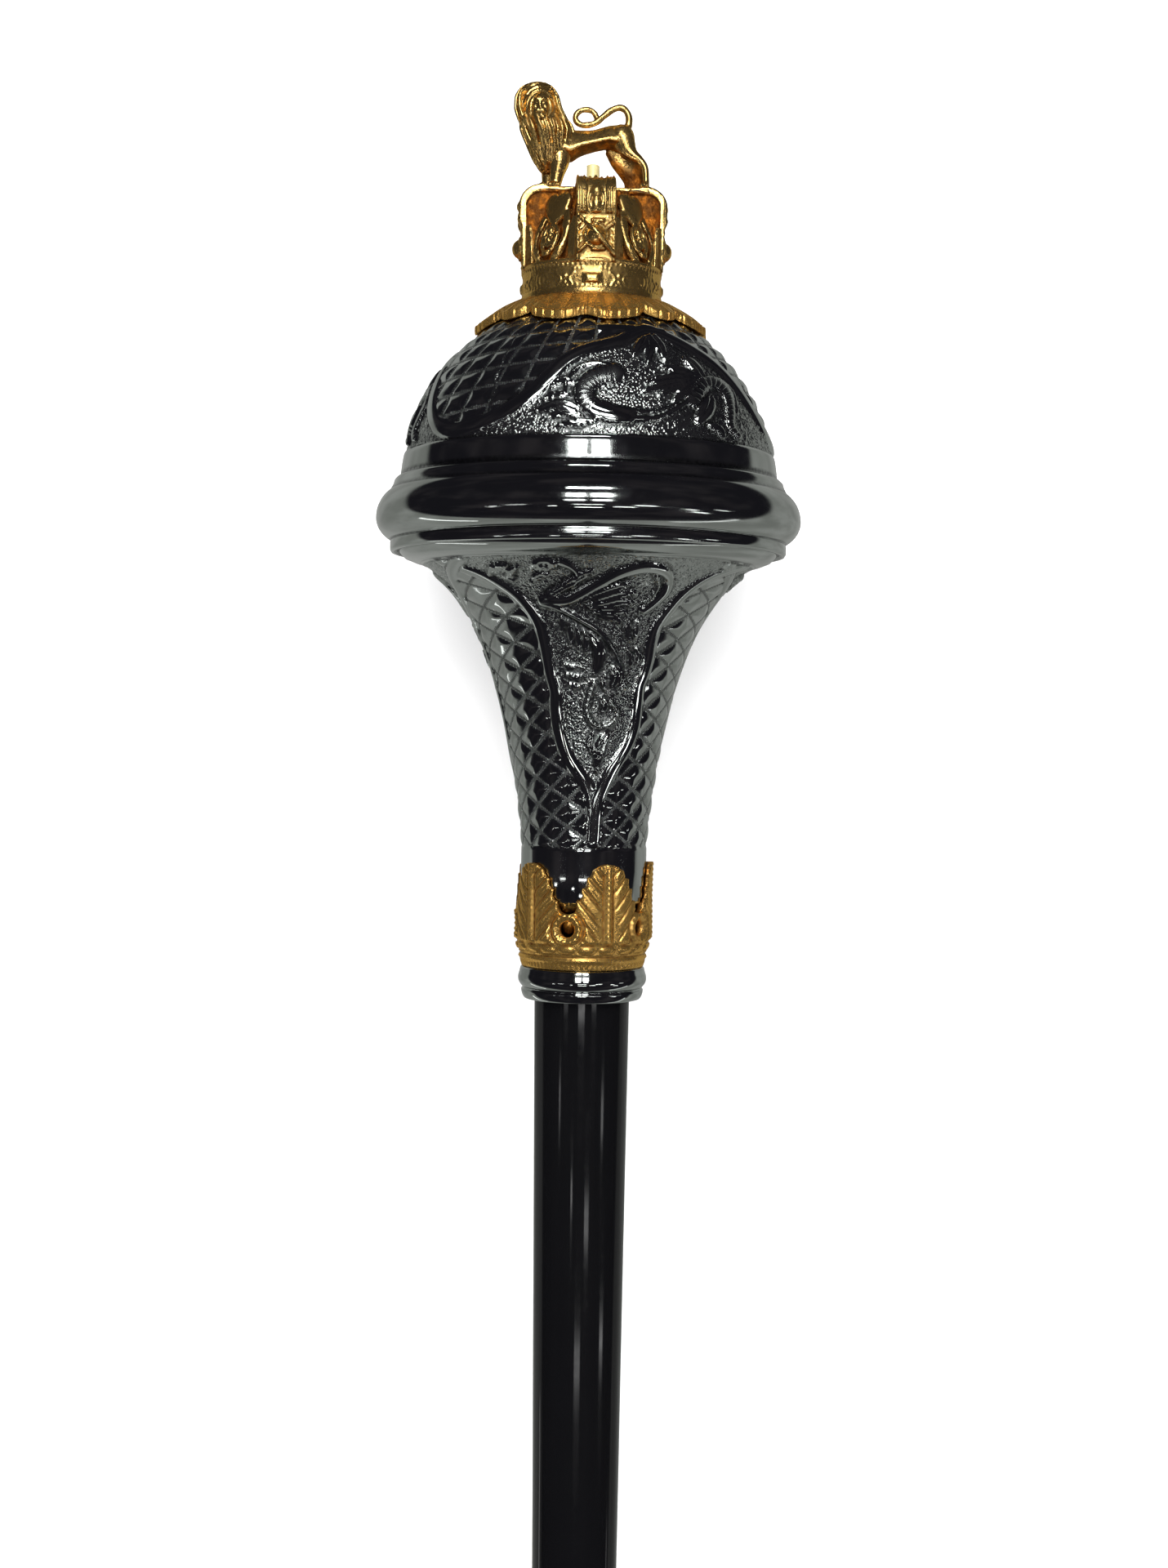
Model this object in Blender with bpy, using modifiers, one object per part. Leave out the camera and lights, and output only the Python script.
"""A drum major's ceremonial mace, lying on the ground on two small flat spots.

Every piece is modelled upright, with the mace's axis on Z, its front towards -Y and z = 0 at
the largest diameter of the head's bead. One empty then lays the whole mace down, head
towards +X and front up, until the bead and the ferrule's tip both touch the ground.
"""

import math

import bmesh
import bpy
from mathutils import Matrix, Vector

MM = 0.001
GAP = 0.3 * MM
FLAT_DEPTH = 0.6 * MM

# Head: the dome cap, with its bead and lip, and the trumpet below it.
DOME_RADIUS = 57.0 * MM
DOME_RISE = 60.0 * MM
DOME_CENTRE_Z = 8.0 * MM
DOME_FLAT_RADIUS = 24.0 * MM
DOME_FOOT_Z = 13.0 * MM
BEAD_RADIUS = 64.0 * MM
BEAD_SECTION_RADIUS = 9.2 * MM
BEAD_CENTRE_Z = 1.0 * MM
BEAD_RISE = 10.0 * MM
BEAD_DROP = 7.7 * MM
BEAD_HALF_ANGLE = math.radians(57)
LIP_RADIUS = 59.9 * MM
LIP_BOTTOM_Z = -9.2 * MM
LIP_WALL = 2.2 * MM
HEAD_SPLIT_Z = -7.6 * MM
FLANGE_CLEARANCE = 0.5 * MM
BELL_TOP_Z = -12.6 * MM
BELL_END_Z = -97.0 * MM
BELL_BASE_RADIUS = 15.0 * MM
BELL_LONG = (28.0 * MM, 44.0 * MM)
BELL_SHORT = (7.5 * MM, 7.5 * MM)
COLLAR_RADIUS = 19.0 * MM
COLLAR_END_Z = -113.0 * MM
SPIGOT_RADIUS = 17.6 * MM
SPIGOT_END_Z = -133.0 * MM

# Gilt leaf plate under the crown.
ROSETTE_RADIUS = 35.2 * MM
ROSETTE_WAIST = 28.5 * MM
ROSETTE_THICKNESS = 2.7 * MM
ROSETTE_SEAT_RADIUS = 22.6 * MM
ROSETTE_SEAT_Z = 65.4 * MM
ROSETTE_LOBES = 4
ROSETTE_TURN = math.radians(-3)

# Crown.
CROWN_TURN = math.radians(3)
BAND_RADIUS = 21.3 * MM
BAND_WALL = 2.2 * MM
BAND_TOP_Z = 76.3 * MM
ARCH_TOP_Z = 100.1 * MM
ARCH_BULGE_RADIUS = 22.5 * MM
ARCH_BULGE_Z = 92.0 * MM
ARCH_SHOULDER = 5.6 * MM
ARCH_WIDTH = 11.6 * MM
ARCH_THICKNESS = 2.3 * MM
CROSS_WIDTH = 12.2 * MM
CROSS_HEIGHT = 13.0 * MM
JEWEL_RADIUS = 3.5 * MM
JEWEL_REACH = 24.2 * MM
JEWEL_Z = 82.4 * MM
FLEUR_HEIGHT = 22.4 * MM
CAP_SIDES = 12
FLEUR_LEAN = math.radians(17)
STUD_RADIUS = 2.0 * MM
STUD_TOP_Z = 108.2 * MM

# Leaf gallery and bead ring at the head of the shaft.
GALLERY_TOP_Z = -101.7 * MM
GALLERY_END_Z = -133.2 * MM
GALLERY_LEAVES = 5
GALLERY_TURN = math.radians(22)
GALLERY_LEAF_RADIUS = 20.3 * MM
GALLERY_VALLEY_Z = -116.5 * MM
GALLERY_HOLE_RADIUS = 2.4 * MM
GALLERY_HOLE_Z = -121.0 * MM
RING_RADIUS = 19.5 * MM
RING_END_Z = -143.2 * MM

# Shaft and ferrule.
SHAFT_TOP_RADIUS = 14.5 * MM
SHAFT_TIP_RADIUS = 9.2 * MM
FERRULE_TOP_Z = -1281.6 * MM
FERRULE_LENGTH = 85.0 * MM
FERRULE_RADIUS = 10.2 * MM
TIP_RADIUS = 10.8 * MM

HEAD_SIDES = 40
NECK_SIDES = 32
RING_SIDES = 30
SHAFT_SIDES = 24

CHROME = ("chrome", (0.50, 0.52, 0.50), 0.10, 1.0)
GILT = ("gilt", (0.78, 0.52, 0.16), 0.22, 1.0)
BRASS = ("brass", (0.86, 0.74, 0.40), 0.30, 1.0)
LACQUER = ("black_lacquer", (0.012, 0.012, 0.013), 0.16, 0.0)


def clear_scene():
    """Remove every object that the startup file brings."""
    for obj in list(bpy.data.objects):
        bpy.data.objects.remove(obj, do_unlink=True)


def new_collection(name):
    """A collection under the scene's own."""
    collection = bpy.data.collections.new(name)
    bpy.context.scene.collection.children.link(collection)
    return collection


def material(finish):
    """A Principled material from a (name, colour, roughness, metallic) finish."""
    name, colour, roughness, metallic = finish
    found = bpy.data.materials.get(name)
    if found:
        return found
    made = bpy.data.materials.new(name)
    made.use_nodes = True
    shader = made.node_tree.nodes["Principled BSDF"]
    shader.inputs["Base Color"].default_value = (*colour, 1.0)
    shader.inputs["Roughness"].default_value = roughness
    shader.inputs["Metallic"].default_value = metallic
    return made


def place(mesh, name):
    """Link a mesh to the scene as a new object."""
    obj = bpy.data.objects.new(name, mesh)
    bpy.context.scene.collection.objects.link(obj)
    return obj


def baked(obj):
    """The object with its modifiers applied, as a welded mesh object at the origin."""
    bpy.context.view_layer.update()
    graph = bpy.context.evaluated_depsgraph_get()
    mesh = bpy.data.meshes.new_from_object(obj.evaluated_get(graph))
    mesh.transform(obj.matrix_world)
    shape = bmesh.new()
    shape.from_mesh(mesh)
    bmesh.ops.remove_doubles(shape, verts=shape.verts, dist=0.001 * MM)
    bmesh.ops.recalc_face_normals(shape, faces=shape.faces)
    shape.to_mesh(mesh)
    shape.free()
    name = obj.name
    bpy.data.objects.remove(obj, do_unlink=True)
    return place(mesh, name)


def turned(name, profile, sides):
    """A solid of revolution from (radius, z) points that run down the outer side."""
    mesh = bpy.data.meshes.new(name)
    points = [(radius, 0.0, z) for radius, z in profile]
    closed = profile[0][0] > 0.0
    ends = [(i, i + 1) for i in range(len(points) - 1)]
    if closed:
        ends.append((len(points) - 1, 0))
    mesh.from_pydata(points, ends, [])
    obj = place(mesh, name)
    screw = obj.modifiers.new("turn", "SCREW")
    screw.axis = "Z"
    screw.steps = sides
    screw.render_steps = sides
    screw.use_merge_vertices = True
    screw.merge_threshold = 0.001 * MM
    screw.use_smooth_shade = True
    return obj


def plate(name, outline, half_thickness):
    """A flat solid in the XZ plane, from an outline in (x, z), centred on y = 0."""
    curve = bpy.data.curves.new(name, "CURVE")
    curve.dimensions = "2D"
    curve.fill_mode = "BOTH"
    curve.extrude = half_thickness
    spline = curve.splines.new("POLY")
    spline.points.add(len(outline) - 1)
    for point, (x, z) in zip(spline.points, outline):
        point.co = (x, z, 0.0, 1.0)
    spline.use_cyclic_u = True
    obj = place(curve, name)
    obj.rotation_euler = (math.radians(90), 0.0, 0.0)
    return baked(obj)


def tube(name, points, radii, sides_step=2):
    """A round tube along points, with its own radius at each."""
    curve = bpy.data.curves.new(name, "CURVE")
    curve.dimensions = "3D"
    curve.bevel_depth = 1.0
    curve.bevel_resolution = sides_step
    curve.use_fill_caps = True
    spline = curve.splines.new("POLY")
    spline.points.add(len(points) - 1)
    for point, place_at, radius in zip(spline.points, points, radii):
        point.co = (*place_at, 1.0)
        point.radius = radius
    return baked(place(curve, name))


def ball(name, centre, radii, lean=0.0, rings=10):
    """An ellipsoid, leaned about the Y axis."""
    shape = bmesh.new()
    bmesh.ops.create_uvsphere(shape, u_segments=rings + 4, v_segments=rings, radius=1.0)
    frame = Matrix.Translation(centre) @ Matrix.Rotation(lean, 4, "Y") @ Matrix.Diagonal((*radii, 1.0))
    bmesh.ops.transform(shape, matrix=frame, verts=shape.verts)
    mesh = bpy.data.meshes.new(name)
    shape.to_mesh(mesh)
    shape.free()
    return place(mesh, name)


def cylinder(name, radius, low, high, sides=24):
    """An upright cylinder on the axis between two heights."""
    shape = bmesh.new()
    bmesh.ops.create_cone(
        shape, cap_ends=True, segments=sides, radius1=radius, radius2=radius, depth=high - low
    )
    bmesh.ops.translate(shape, verts=shape.verts, vec=(0.0, 0.0, (low + high) / 2))
    mesh = bpy.data.meshes.new(name)
    shape.to_mesh(mesh)
    shape.free()
    return place(mesh, name)


def spun_copies(obj, count, turn):
    """Copies of an object about the axis, evenly spaced, the first turned by turn; it is removed."""
    copies = []
    for i in range(count):
        copy = place(obj.data.copy(), f"{obj.name}_{i}")
        copy.data.transform(Matrix.Rotation(turn + i * math.tau / count, 4, "Z"))
        copies.append(copy)
    bpy.data.objects.remove(obj, do_unlink=True)
    return copies


def combine(base, others, operation):
    """Apply a Boolean of each other object to base, then remove the others."""
    for other in others:
        cut = base.modifiers.new(operation.lower(), "BOOLEAN")
        cut.operation = operation
        cut.object = other
    name = base.name
    made = baked(base)
    made.name = name
    for other in others:
        bpy.data.objects.remove(other, do_unlink=True)
    return made


def dome_height(radius):
    """Height of the dome's outer surface at a radius."""
    return DOME_CENTRE_Z + DOME_RISE * math.sqrt(1.0 - (radius / DOME_RADIUS) ** 2)


def bell_radius(z):
    """Radius of the trumpet's flare: a long and a short decay added together."""
    down = BELL_TOP_Z - z
    return BELL_BASE_RADIUS + sum(size * math.exp(-down / length) for size, length in (BELL_LONG, BELL_SHORT))


def shaft_radius(z):
    """Radius of the shaft, whose taper eases towards the ferrule."""
    share = (SPIGOT_END_Z - z) / (SPIGOT_END_Z - FERRULE_TOP_Z)
    return SHAFT_TIP_RADIUS + (SHAFT_TOP_RADIUS - SHAFT_TIP_RADIUS) * (1.0 - share) ** 2


def dome_stations():
    """Points down the dome's outer surface, from the rim of its flat top to its foot."""
    start = math.asin(DOME_FLAT_RADIUS / DOME_RADIUS)
    end = math.acos((DOME_FOOT_Z - DOME_CENTRE_Z) / DOME_RISE)
    steps = 8
    points = []
    for i in range(steps + 1):
        angle = start + (end - start) * i / steps
        points.append((DOME_RADIUS * math.sin(angle), DOME_CENTRE_Z + DOME_RISE * math.cos(angle)))
    return points


def dome_profile():
    """Outer profile of the dome cap, from its flat top down to the recess for the trumpet."""
    points = [(0.0, dome_height(DOME_FLAT_RADIUS))] + dome_stations()
    points += [(58.6 * MM, 12.0 * MM), (LIP_RADIUS - 0.5 * MM, 10.3 * MM)]
    centre = BEAD_RADIUS - BEAD_SECTION_RADIUS
    steps = 6
    for i in range(steps + 1):
        angle = BEAD_HALF_ANGLE * (1.0 - 2.0 * i / steps)
        height = BEAD_RISE if angle > 0.0 else BEAD_DROP
        points.append(
            (
                centre + BEAD_SECTION_RADIUS * math.cos(angle),
                BEAD_CENTRE_Z + height * math.sin(angle),
            )
        )
    inner = LIP_RADIUS - LIP_WALL
    points += [
        (LIP_RADIUS, -6.2 * MM),
        (LIP_RADIUS, -8.5 * MM),
        (LIP_RADIUS - 0.7 * MM, LIP_BOTTOM_Z),
        (inner, LIP_BOTTOM_Z),
        (inner, HEAD_SPLIT_Z),
        (0.0, HEAD_SPLIT_Z),
    ]
    return points


def trumpet_profile():
    """Outer profile of the trumpet, its plain collar and the spigot inside the gallery."""
    top = HEAD_SPLIT_Z - GAP
    flange = LIP_RADIUS - LIP_WALL - FLANGE_CLEARANCE
    points = [(0.0, top), (flange, top), (flange, -8.7 * MM), (55.2 * MM, -10.9 * MM)]
    steps = 9
    for i in range(steps + 1):
        share = (i / steps) ** 1.7
        z = BELL_TOP_Z + (BELL_END_Z - BELL_TOP_Z) * share
        points.append((bell_radius(z), z))
    return points + [
        (COLLAR_RADIUS, BELL_END_Z - 0.8 * MM),
        (COLLAR_RADIUS, COLLAR_END_Z),
        (SPIGOT_RADIUS, COLLAR_END_Z - 1.2 * MM),
        (SPIGOT_RADIUS, SPIGOT_END_Z),
        (0.0, SPIGOT_END_Z),
    ]


def ferrule_profile():
    """Outer profile of the ferrule: a bead, a tube and a button tip."""
    steps_down = [
        (9.7, 0.0),
        (11.3, 1.0),
        (11.3, 3.4),
        (FERRULE_RADIUS / MM, 4.8),
        (FERRULE_RADIUS / MM - 0.5, 70.0),
        (TIP_RADIUS / MM, 71.2),
        (TIP_RADIUS / MM, 80.4),
        (9.6, 82.6),
        (6.2, 84.4),
    ]
    points = [(0.0, FERRULE_TOP_Z)]
    points += [(radius * MM, FERRULE_TOP_Z - down * MM) for radius, down in steps_down]
    return points + [(0.0, FERRULE_TOP_Z - FERRULE_LENGTH)]


def rosette_outline():
    """Outline of the leaf plate: big double-tipped lobes with a small lobe between each two."""
    count = 72
    points = []
    for i in range(count):
        angle = math.tau * i / count
        swing = ((angle - ROSETTE_TURN) * ROSETTE_LOBES / math.tau + 0.5) % 1.0 - 0.5
        big = max(0.0, math.cos(math.pi * min(1.0, abs(swing) / 0.36) / 2.0)) ** 0.35
        small = max(0.0, math.cos(math.pi * min(1.0, (0.5 - abs(swing)) / 0.14) / 2.0)) ** 0.5
        dip = math.exp(-((swing / 0.07) ** 2))
        radius = ROSETTE_WAIST + (ROSETTE_RADIUS - ROSETTE_WAIST) * big - 2.2 * MM * dip * big + 4.2 * MM * small
        points.append((radius * math.sin(angle), -radius * math.cos(angle)))
    return points


def make_rosette():
    """Leaf plate: a turned plate that hugs the dome, trimmed to its lobed outline."""
    under = [(radius, z + GAP) for radius, z in dome_stations()[:3]]
    top = [(radius, z + ROSETTE_THICKNESS) for radius, z in under]
    hole = STUD_RADIUS + GAP
    floor_z = dome_height(DOME_FLAT_RADIUS) + GAP
    profile = [(hole, ROSETTE_SEAT_Z), (ROSETTE_SEAT_RADIUS, ROSETTE_SEAT_Z)]
    profile += top + under[::-1] + [(hole, floor_z)]
    rosette = turned("rosette", profile, HEAD_SIDES)
    trim = plate("rosette_trim", rosette_outline(), 40.0 * MM)
    trim.data.transform(Matrix.Rotation(math.radians(-90), 4, "X"))
    trim.data.transform(Matrix.Translation((0.0, 0.0, ROSETTE_SEAT_Z)))
    return combine(rosette, [trim], "INTERSECT")


def arch_outline():
    """Half side view of one arch, from the band up over the shoulder to the axis."""
    outer = [(BAND_RADIUS - 0.3 * MM, BAND_TOP_Z - 1.0 * MM), (21.9 * MM, 87.0 * MM)]
    outer.append((ARCH_BULGE_RADIUS, ARCH_BULGE_Z))
    centre_x = ARCH_BULGE_RADIUS - ARCH_SHOULDER
    centre_z = ARCH_TOP_Z - ARCH_SHOULDER
    turns = 4
    for i in range(turns + 1):
        angle = math.pi / 2 * i / turns
        outer.append((centre_x + ARCH_SHOULDER * math.cos(angle), centre_z + ARCH_SHOULDER * math.sin(angle)))
    outer.append((-1.0 * MM, ARCH_TOP_Z))
    inner_bend = ARCH_SHOULDER - ARCH_THICKNESS
    inner = [(-1.0 * MM, ARCH_TOP_Z - ARCH_THICKNESS)]
    for i in reversed(range(turns + 1)):
        angle = math.pi / 2 * i / turns
        inner.append((centre_x + inner_bend * math.cos(angle), centre_z + inner_bend * math.sin(angle)))
    inner += [(21.9 * MM - ARCH_THICKNESS, 87.0 * MM)]
    inner.append((BAND_RADIUS - 0.3 * MM - ARCH_THICKNESS, BAND_TOP_Z - 1.0 * MM))
    return outer + inner


def cross_outline():
    """A cross pattee: four arms that flare from a narrow waist."""
    half_width = CROSS_WIDTH / 2
    half_height = CROSS_HEIGHT / 2
    waist = 1.5 * MM
    points = []
    for side_x, side_z, order in ((1, 1, 1), (-1, 1, -1), (-1, -1, 1), (1, -1, -1)):
        arm = [(half_width, 0.62 * half_height), (0.5 * half_width, waist), (waist, 0.5 * half_height)]
        arm.append((0.62 * half_width, half_height))
        for x, z in arm[::order]:
            points.append((side_x * x, side_z * z))
    return points


def fleur_outline():
    """A fleur seen from the front: a foot with a blade at each side and a heart-shaped petal over them."""
    half = [
        (2.6, 0.0),
        (5.0, 2.4),
        (6.5, 6.4),
        (6.6, 11.0),
        (5.5, 15.4),
        (4.9, 18.0),
        (4.4, 20.2),
        (2.0, 21.2),
    ]
    scale = FLEUR_HEIGHT / 21.0
    right = [(x * scale, z * scale) for x, z in half]
    left = [(-x, z) for x, z in reversed(right)]
    return right + [(0.0, 20.0 * scale)] + left


def cap_profile(inner):
    """Section of the thin cap behind the arches: from inside the band up to the arches' underside."""
    outside = [(inner + 0.6 * MM, BAND_TOP_Z - 2.2 * MM), (17.6 * MM, 80.5 * MM), (14.7 * MM, 89.5 * MM)]
    outside += [(12.6 * MM, 95.4 * MM), (9.5 * MM, ARCH_TOP_Z - 1.6 * MM), (0.0, ARCH_TOP_Z - 1.4 * MM)]
    inside = [(0.0, ARCH_TOP_Z - 3.0 * MM), (9.0 * MM, ARCH_TOP_Z - 3.2 * MM), (11.2 * MM, 94.8 * MM)]
    inside += [(13.3 * MM, 89.1 * MM), (16.2 * MM, 80.1 * MM), (inner - 1.0 * MM, BAND_TOP_Z - 3.0 * MM)]
    return outside + inside


def make_crown():
    """Crown: band, a thin cap, four arches, crosses with round jewels at their feet, and fleurs between."""
    band_foot = ROSETTE_SEAT_Z + GAP
    inner = BAND_RADIUS - BAND_WALL
    band = turned(
        "crown",
        [
            (inner, BAND_TOP_Z),
            (BAND_RADIUS - 0.5 * MM, BAND_TOP_Z),
            (BAND_RADIUS, BAND_TOP_Z - 0.6 * MM),
            (BAND_RADIUS - 0.4 * MM, BAND_TOP_Z - 1.8 * MM),
            (BAND_RADIUS, band_foot + 1.6 * MM),
            (BAND_RADIUS, band_foot),
            (inner, band_foot),
        ],
        RING_SIDES,
    )
    arch = plate("arch", arch_outline(), ARCH_WIDTH / 2)
    arches = spun_copies(arch, 4, CROWN_TURN)
    cross = plate("cross", cross_outline(), 0.9 * MM)
    cross_z = BAND_TOP_Z + CROSS_HEIGHT / 2 - 0.3 * MM
    cross.data.transform(Matrix.Translation((0.0, 0.7 * MM - ARCH_BULGE_RADIUS, cross_z)))
    crosses = spun_copies(cross, 4, CROWN_TURN)
    depth = JEWEL_REACH - ARCH_BULGE_RADIUS + 0.9 * MM
    jewel = ball("jewel", (0.0, depth - JEWEL_REACH, JEWEL_Z), (JEWEL_RADIUS, depth, JEWEL_RADIUS), rings=6)
    jewels = spun_copies(jewel, 4, CROWN_TURN)
    fleur = plate("fleur", fleur_outline(), 0.7 * MM)
    fleur.data.transform(Matrix.Rotation(-FLEUR_LEAN, 4, "X"))
    fleur.data.transform(Matrix.Translation((0.0, 1.2 * MM - BAND_RADIUS, BAND_TOP_Z - 0.8 * MM)))
    fleurs = spun_copies(fleur, 4, CROWN_TURN + math.radians(45))
    cap = turned("cap", cap_profile(inner), CAP_SIDES)
    crown = combine(band, [cap] + arches + crosses + jewels + fleurs, "UNION")
    bore = cylinder("stud_bore", STUD_RADIUS + GAP, ARCH_TOP_Z - 5.0 * MM, ARCH_TOP_Z + 5.0 * MM)
    return combine(crown, [bore], "DIFFERENCE")


def loop_points(centre_x, centre_z, radius_x, radius_z, start, end, count, y):
    """Points along part of an ellipse in the XZ plane, in degrees from +X towards +Z."""
    points = []
    for i in range(count):
        angle = math.radians(start + (end - start) * i / (count - 1))
        points.append((centre_x + radius_x * math.cos(angle), y, centre_z + radius_z * math.sin(angle)))
    return points


def limb(name, points, radii):
    """A leg or trunk of the lion, from points and radii in millimetres."""
    return tube(name, [Vector(p) * MM for p in points], [r * MM for r in radii])


def make_lion():
    """Lion standing on the crown: forms fused by a voxel remesh into one closed casting."""
    forms = [
        ball("mane", Vector((-14.4, 0.0, 117.4)) * MM, Vector((6.6, 6.2, 9.4)) * MM, math.radians(-12)),
        ball("ruff", Vector((-15.9, 0.0, 121.6)) * MM, Vector((7.0, 6.4, 6.4)) * MM),
        ball("head", Vector((-17.1, -0.6, 126.1)) * MM, Vector((6.1, 5.8, 6.8)) * MM),
        ball("face", Vector((-16.0, -4.6, 124.3)) * MM, Vector((2.7, 2.6, 3.9)) * MM),
        ball("chest", Vector((-12.6, 0.0, 111.6)) * MM, Vector((4.6, 5.0, 6.2)) * MM, math.radians(-8)),
        ball("haunch", Vector((8.2, 0.0, 115.6)) * MM, Vector((3.9, 5.4, 4.9)) * MM),
        limb(
            "trunk",
            [(-11.0, 0.0, 114.6), (-6.0, 0.0, 114.0), (0.5, 0.0, 115.4), (6.0, 0.0, 115.8), (9.0, 0.0, 115.6)],
            [4.6, 4.3, 4.1, 4.4, 3.4],
        ),
        limb("foreleg_near", [(-9.9, -2.4, 111.0), (-10.3, -2.8, 106.8), (-11.5, -3.2, 100.7)], [2.9, 2.2, 1.4]),
        limb("foreleg_far", [(-13.0, 1.8, 110.5), (-13.8, 2.2, 105.5), (-14.0, 2.4, 100.7)], [2.6, 1.6, 1.4]),
        limb(
            "hindleg_near",
            [(10.4, -2.8, 113.6), (12.6, -3.4, 111.0), (15.3, -3.6, 107.7), (15.9, -3.6, 100.7)],
            [2.8, 1.9, 1.3, 1.1],
        ),
        limb(
            "hindleg_far",
            [(7.4, 2.6, 113.4), (9.4, 3.0, 110.2), (11.5, 3.2, 106.8), (12.4, 3.2, 100.7)],
            [4.3, 4.3, 3.7, 2.9],
        ),
    ]
    for name, x, y, reach in (
        ("paw_0", -11.9, -3.6, 2.0),
        ("paw_1", -14.4, 2.2, 2.0),
        ("paw_2", 15.2, -3.8, 1.8),
        ("paw_3", 11.8, 3.0, 3.0),
    ):
        forms.append(ball(name, Vector((x, y, 101.3)) * MM, Vector((reach, 1.8, 1.2)) * MM))
    tail = [(9.8, 0.0, 117.8), (10.2, 0.0, 120.4), (10.2, 0.0, 122.4), (9.6, 0.0, 124.3), (7.8, 0.0, 125.2)]
    tail += [(5.4, 0.0, 124.7), (3.0, 0.0, 122.6), (0.8, -0.2, 120.6)]
    tail += loop_points(-2.2, 122.1, 3.3, 2.55, -60.0, -400.0, 14, -0.5)
    forms.append(limb("tail", tail, [0.9] * len(tail)))
    body = forms[0]
    body.name = "lion"
    shape = bmesh.new()
    for form in forms:
        shape.from_mesh(form.data)
    shape.to_mesh(body.data)
    shape.free()
    for form in forms[1:]:
        bpy.data.objects.remove(form, do_unlink=True)
    fuse = body.modifiers.new("fuse", "REMESH")
    fuse.mode = "VOXEL"
    fuse.voxel_size = 0.45 * MM
    ease = body.modifiers.new("ease", "SMOOTH")
    ease.factor = 0.5
    ease.iterations = 2
    thin = body.modifiers.new("thin", "DECIMATE")
    thin.ratio = 0.028
    lion = baked(body)
    foot = cylinder("paw_trim", 60.0 * MM, 80.0 * MM, ARCH_TOP_Z + GAP, sides=8)
    return combine(lion, [foot], "DIFFERENCE")


def valley_outline():
    """Gap between two gallery leaves: a scalloped V, open above, seen from outside."""
    foot = GALLERY_VALLEY_Z
    top = GALLERY_TOP_Z + 3.0 * MM
    height = GALLERY_TOP_Z - foot
    half = [(0.6, 0.0), (2.3, 0.02), (3.1, 0.16), (2.7, 0.26), (4.6, 0.34), (4.1, 0.50)]
    half += [(5.9, 0.58), (5.6, 0.72), (7.6, 0.80), (8.4, 0.96)]
    right = [(x * MM, foot + share * height) for x, share in half]
    right.append((10.2 * MM, top))
    return right + [(-x, z) for x, z in reversed(right)]


def make_gallery():
    """Gilt gallery: a turned sleeve whose upper edge is cut into leaves, with pierced scrolls."""
    seat = COLLAR_RADIUS + GAP
    throat = SPIGOT_RADIUS + GAP
    step_z = COLLAR_END_Z - 1.2 * MM - GAP
    sleeve = turned(
        "leaf_gallery",
        [
            (seat, GALLERY_TOP_Z),
            (GALLERY_LEAF_RADIUS, GALLERY_TOP_Z),
            (GALLERY_LEAF_RADIUS - 0.3 * MM, -112.0 * MM),
            (GALLERY_LEAF_RADIUS, -126.5 * MM),
            (19.2 * MM, -129.6 * MM),
            (18.6 * MM, GALLERY_END_Z),
            (throat, GALLERY_END_Z),
            (throat, step_z),
            (seat, step_z + 1.2 * MM),
        ],
        RING_SIDES,
    )
    reach = 6.0 * MM
    valley = plate("valley", valley_outline(), reach)
    valley.data.transform(Matrix.Translation((0.0, -COLLAR_RADIUS - reach / 2, 0.0)))
    half_pitch = math.pi / GALLERY_LEAVES
    valleys = spun_copies(valley, GALLERY_LEAVES, GALLERY_TURN + half_pitch)
    sleeve = combine(sleeve, valleys, "DIFFERENCE")
    hole = cylinder("hole", GALLERY_HOLE_RADIUS, -reach, reach, sides=10)
    hole.data.transform(Matrix.Rotation(math.radians(90), 4, "X"))
    hole.data.transform(Matrix.Translation((0.0, -COLLAR_RADIUS - reach / 3, GALLERY_HOLE_Z)))
    holes = spun_copies(hole, GALLERY_LEAVES, GALLERY_TURN + half_pitch)
    return combine(sleeve, holes, "DIFFERENCE")


def make_ring():
    """Chrome bead ring that closes the head over the shaft."""
    inner = SHAFT_TOP_RADIUS + GAP
    top = GALLERY_END_Z - GAP
    return turned(
        "bead_ring",
        [
            (inner, top),
            (18.4 * MM, top),
            (19.2 * MM, -135.4 * MM),
            (RING_RADIUS, -137.0 * MM),
            (19.1 * MM, -138.6 * MM),
            (18.2 * MM, -140.2 * MM),
            (18.5 * MM, -140.8 * MM),
            (17.9 * MM, RING_END_Z),
            (inner, RING_END_Z),
        ],
        RING_SIDES,
    )


def make_shaft():
    """Lacquered shaft, from the head's spigot to the ferrule."""
    top = SPIGOT_END_Z - GAP
    bottom = FERRULE_TOP_Z + GAP
    steps = 5
    profile = [(0.0, top)]
    for i in range(steps + 1):
        z = top + (bottom - top) * i / steps
        profile.append((shaft_radius(z), z))
    return turned("shaft", profile + [(0.0, bottom)], SHAFT_SIDES)


def low_point(profile, tilt):
    """Lowest reach of a turned profile below the axis' origin, at a tilt of the axis."""
    return min(z * math.sin(tilt) - radius * math.cos(tilt) for radius, z in profile)


def resting_tilt():
    """Tilt of the axis at which the bead and the ferrule's tip are equally low."""
    low, high = 0.0, 0.2
    for _ in range(60):
        tilt = (low + high) / 2
        if low_point(dome_profile(), tilt) < low_point(ferrule_profile(), tilt):
            low = tilt
        else:
            high = tilt
    return tilt


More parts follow.
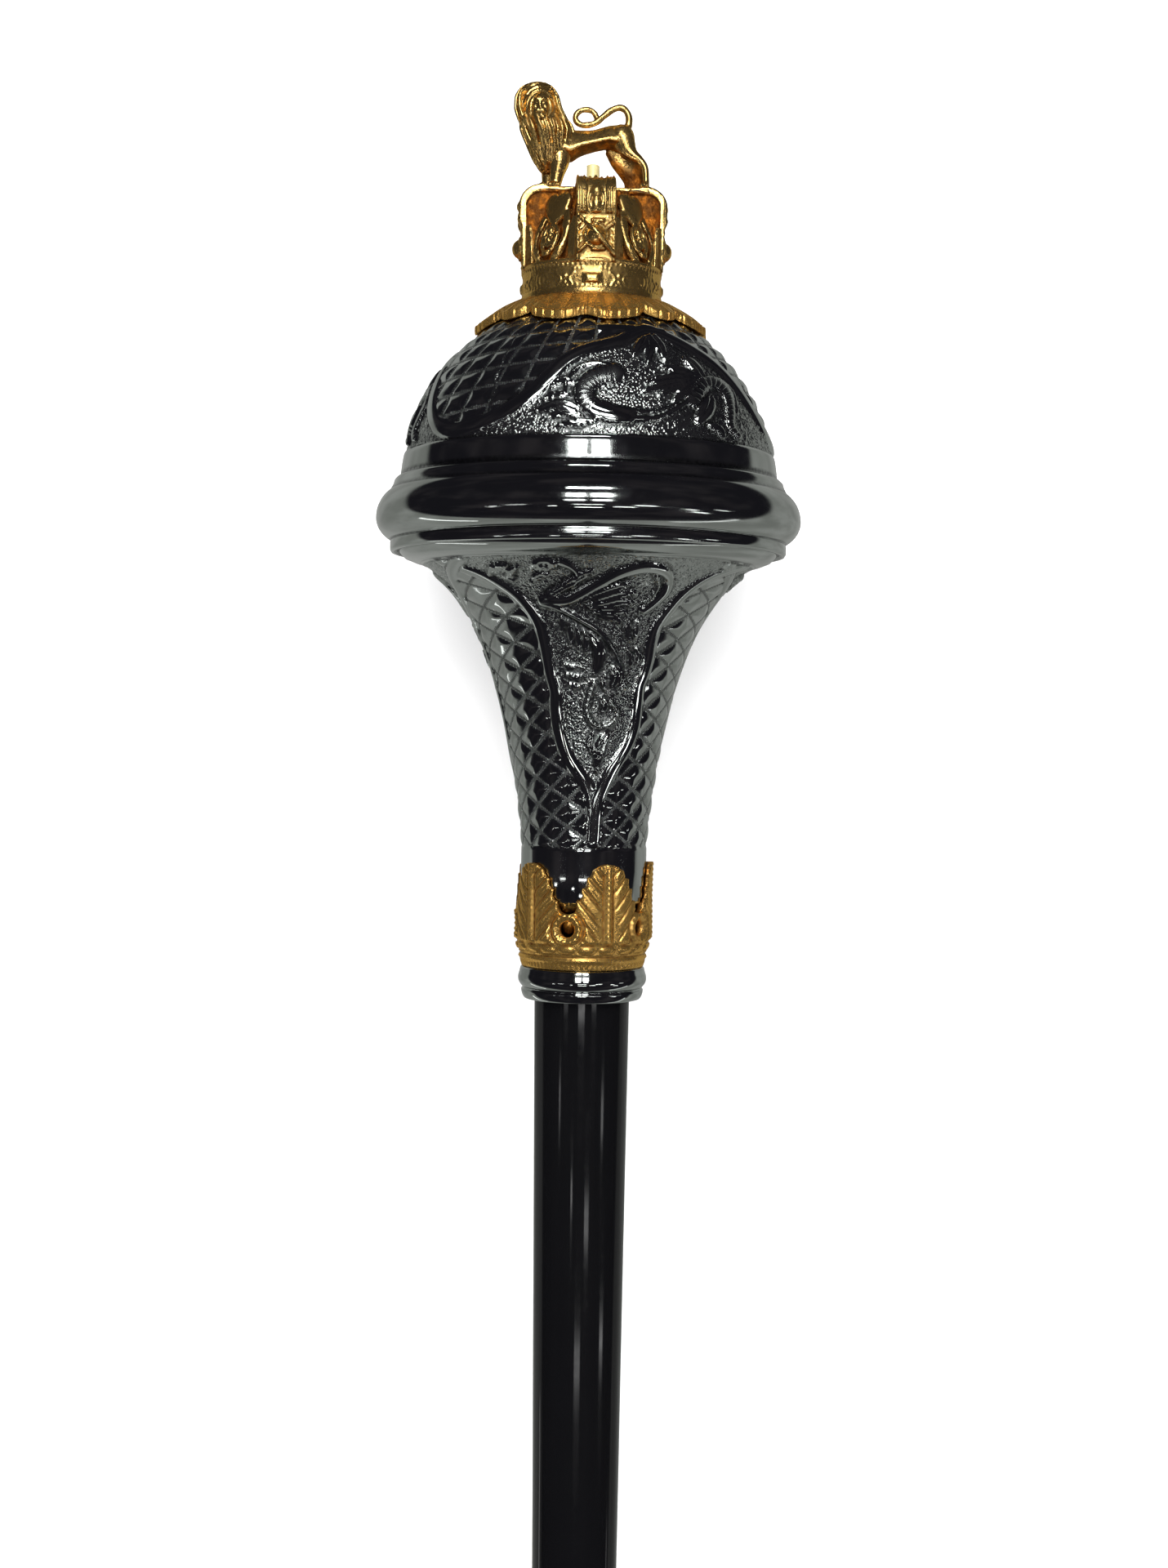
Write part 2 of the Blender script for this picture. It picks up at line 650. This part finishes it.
def world_bounds(objects):
    """Lowest and highest corners of the evaluated objects, in world space."""
    bpy.context.view_layer.update()
    graph = bpy.context.evaluated_depsgraph_get()
    corners = []
    for obj in objects:
        seen = obj.evaluated_get(graph)
        corners += [seen.matrix_world @ vertex.co for vertex in seen.data.vertices]
    low = Vector(min(c[i] for c in corners) for i in range(3))
    high = Vector(max(c[i] for c in corners) for i in range(3))
    return low, high


def lay_down(pieces):
    """Parent the pieces to an empty that lays the mace on the ground, centred on the origin."""
    tilt = resting_tilt()
    upright_to_lying = Matrix(((0, 0, 1), (-1, 0, 0), (0, -1, 0))).to_4x4()
    rest = Matrix.Rotation(-tilt, 4, "Y") @ upright_to_lying
    root = bpy.data.objects.new("mace_frame", None)
    bpy.context.scene.collection.objects.link(root)
    root.rotation_euler = rest.to_euler()
    root.location.z = -low_point(dome_profile(), tilt) - FLAT_DEPTH
    for piece in pieces:
        piece.parent = root
    low, high = world_bounds(pieces)
    root.location.x = -(low.x + high.x) / 2
    root.location.y = -(low.y + high.y) / 2
    return root


def cut_flats(pieces):
    """Cut the resting flats with one slab whose top face is the ground."""
    cutters = new_collection("cutters")
    shape = bmesh.new()
    bmesh.ops.create_cube(shape, size=1.0)
    slab_height = 0.02
    scale = Matrix.Translation((0.0, 0.0, -slab_height / 2)) @ Matrix.Diagonal((2.0, 0.4, slab_height, 1.0))
    bmesh.ops.transform(shape, matrix=scale, verts=shape.verts)
    mesh = bpy.data.meshes.new("ground_slab")
    shape.to_mesh(mesh)
    shape.free()
    slab = bpy.data.objects.new("ground_slab", mesh)
    slab.hide_render = True
    slab.display_type = "WIRE"
    cutters.objects.link(slab)
    for piece in pieces:
        cut = piece.modifiers.new("flat", "BOOLEAN")
        cut.operation = "DIFFERENCE"
        cut.object = slab


def finish(piece, collection, look):
    """Put a piece in the mace's collection with its material and smooth shading."""
    for other in list(piece.users_collection):
        other.objects.unlink(piece)
    collection.objects.link(piece)
    piece.data.materials.clear()
    piece.data.materials.append(material(look))
    piece.data.shade_smooth()
    if piece.data.polygons:
        piece.data.set_sharp_from_angle(angle=math.radians(40))


def main():
    """Build every piece upright, dress it, lay the mace down and cut its flats."""
    clear_scene()
    collection = new_collection("ceremonial_mace")
    stud_foot = dome_height(DOME_FLAT_RADIUS) + GAP
    pieces = {
        "lion": (make_lion(), GILT),
        "crown": (make_crown(), GILT),
        "tie_stud": (cylinder("tie_stud", STUD_RADIUS, stud_foot, STUD_TOP_Z, sides=20), BRASS),
        "rosette": (make_rosette(), GILT),
        "dome_cap": (turned("dome_cap", dome_profile(), HEAD_SIDES), CHROME),
        "trumpet": (turned("trumpet", trumpet_profile(), NECK_SIDES), CHROME),
        "leaf_gallery": (make_gallery(), GILT),
        "bead_ring": (make_ring(), CHROME),
        "shaft": (make_shaft(), LACQUER),
        "ferrule": (turned("ferrule", ferrule_profile(), SHAFT_SIDES), CHROME),
    }
    for name, (piece, look) in pieces.items():
        piece.name = name
        finish(piece, collection, look)
    cut_flats([pieces["dome_cap"][0], pieces["ferrule"][0]])
    root = lay_down([piece for piece, _ in pieces.values()])
    collection.objects.link(root)
    bpy.context.scene.collection.objects.unlink(root)


main()
